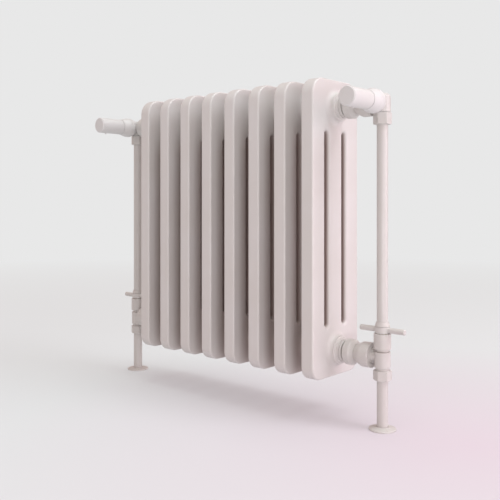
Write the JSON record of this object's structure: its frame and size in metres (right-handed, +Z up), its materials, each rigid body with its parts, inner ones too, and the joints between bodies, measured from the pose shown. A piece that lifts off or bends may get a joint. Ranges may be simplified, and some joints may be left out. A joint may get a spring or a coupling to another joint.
{
  "type": "cast iron radiator",
  "caption": "Column radiator of hollow cast iron sections on two floor risers, each with a tee, an in-line isolating valve and a thermostatic corner valve.",
  "frame": {"origin": "on the floor, below the middle of the whole assembly", "axes": "+X along the radiator from the left riser to the right one; -Y is the front, where the thermostatic heads point; +Z up"},
  "size_m": [0.85, 0.207, 0.6995],
  "materials": {
    "white_enamel": "satin white enamel over cast iron",
    "white_fitting": "satin white enamel on brass and steel",
    "head_plastic": "fine satin",
    "brass": "machined",
    "steel": "bright drawn",
    "aluminium": "satin",
    "seal_rubber": "matt"
  },
  "bodies": {
    "radiator": {"section_1": "white_enamel", "section_2": "white_enamel", "section_3": "white_enamel", "section_4": "white_enamel", "section_5": "white_enamel", "section_6": "white_enamel", "section_7": "white_enamel", "section_8": "white_enamel", "left_top_bush": "white_fitting", "left_top_tail": "white_fitting", "left_top_union_nut": "white_fitting", "left_bottom_bush": "white_fitting", "left_bottom_tail": "white_fitting", "left_bottom_union_nut": "white_fitting", "left_floor_flange": "white_fitting", "left_lower_pipe": "white_fitting", "left_upper_pipe": "white_fitting", "left_lower_pipe_nut": "white_fitting", "left_upper_pipe_nut": "white_fitting", "left_tee": "white_fitting", "left_lower_olive": "brass", "left_upper_olive": "brass", "left_isolating_body": "white_fitting", "left_valve_cap": "white_fitting", "left_top_valve_body": "white_fitting", "left_head_ring_nut": "brass", "left_head_base": "head_plastic", "left_return_spring": "steel", "left_spindle_gland": "seal_rubber", "right_top_bush": "white_fitting", "right_top_tail": "white_fitting", "right_top_union_nut": "white_fitting", "right_bottom_bush": "white_fitting", "right_bottom_tail": "white_fitting", "right_bottom_union_nut": "white_fitting", "right_floor_flange": "white_fitting", "right_lower_pipe": "white_fitting", "right_upper_pipe": "white_fitting", "right_lower_pipe_nut": "white_fitting", "right_upper_pipe_nut": "white_fitting", "right_tee": "white_fitting", "right_lower_olive": "brass", "right_upper_olive": "brass", "right_isolating_body": "white_fitting", "right_valve_cap": "white_fitting", "right_top_valve_body": "white_fitting", "right_head_ring_nut": "brass", "right_head_base": "head_plastic", "right_return_spring": "steel", "right_spindle_gland": "seal_rubber"},
    "left_head": {"left_thermostatic_cap": "head_plastic"},
    "left_spindle": {"left_valve_spindle": "steel", "left_sensor_capsule": "aluminium"},
    "left_bar": {"left_tee_bar": "white_fitting", "left_valve_rotor": "brass"},
    "right_head": {"right_thermostatic_cap": "head_plastic"},
    "right_spindle": {"right_valve_spindle": "steel", "right_sensor_capsule": "aluminium"},
    "right_bar": {"right_tee_bar": "white_fitting", "right_valve_rotor": "brass"}
  },
  "joints": [
    {"name": "left_head_turn", "type": "hinge", "parent": "radiator", "child": "left_head", "pos_m": [-0.375, 0.0225, 0.6428], "axis": [0, 1, 0], "range_deg": [0, 300]},
    {"name": "left_spindle_slide", "type": "slide", "parent": "radiator", "child": "left_spindle", "axis": [0, 1, 0], "range_m": [0, 0.0025]},
    {"name": "left_bar_turn", "type": "hinge", "parent": "radiator", "child": "left_bar", "pos_m": [-0.375, 0.0225, 0.1965], "axis": [0, 0, 1], "range_deg": [0, 90]},
    {"name": "right_head_turn", "type": "hinge", "parent": "radiator", "child": "right_head", "pos_m": [0.375, 0.0225, 0.6428], "axis": [0, 1, 0], "range_deg": [0, 300]},
    {"name": "right_spindle_slide", "type": "slide", "parent": "radiator", "child": "right_spindle", "axis": [0, 1, 0], "range_m": [0, 0.0025]},
    {"name": "right_bar_turn", "type": "hinge", "parent": "radiator", "child": "right_bar", "pos_m": [0.375, 0.0225, 0.1965], "axis": [0, 0, 1], "range_deg": [0, 90]}
  ],
  "couplings": [
    {"joint": "left_spindle_slide", "follows": "left_head_turn", "m_per_rad": 0.000477},
    {"joint": "right_spindle_slide", "follows": "right_head_turn", "m_per_rad": 0.000477}
  ]
}
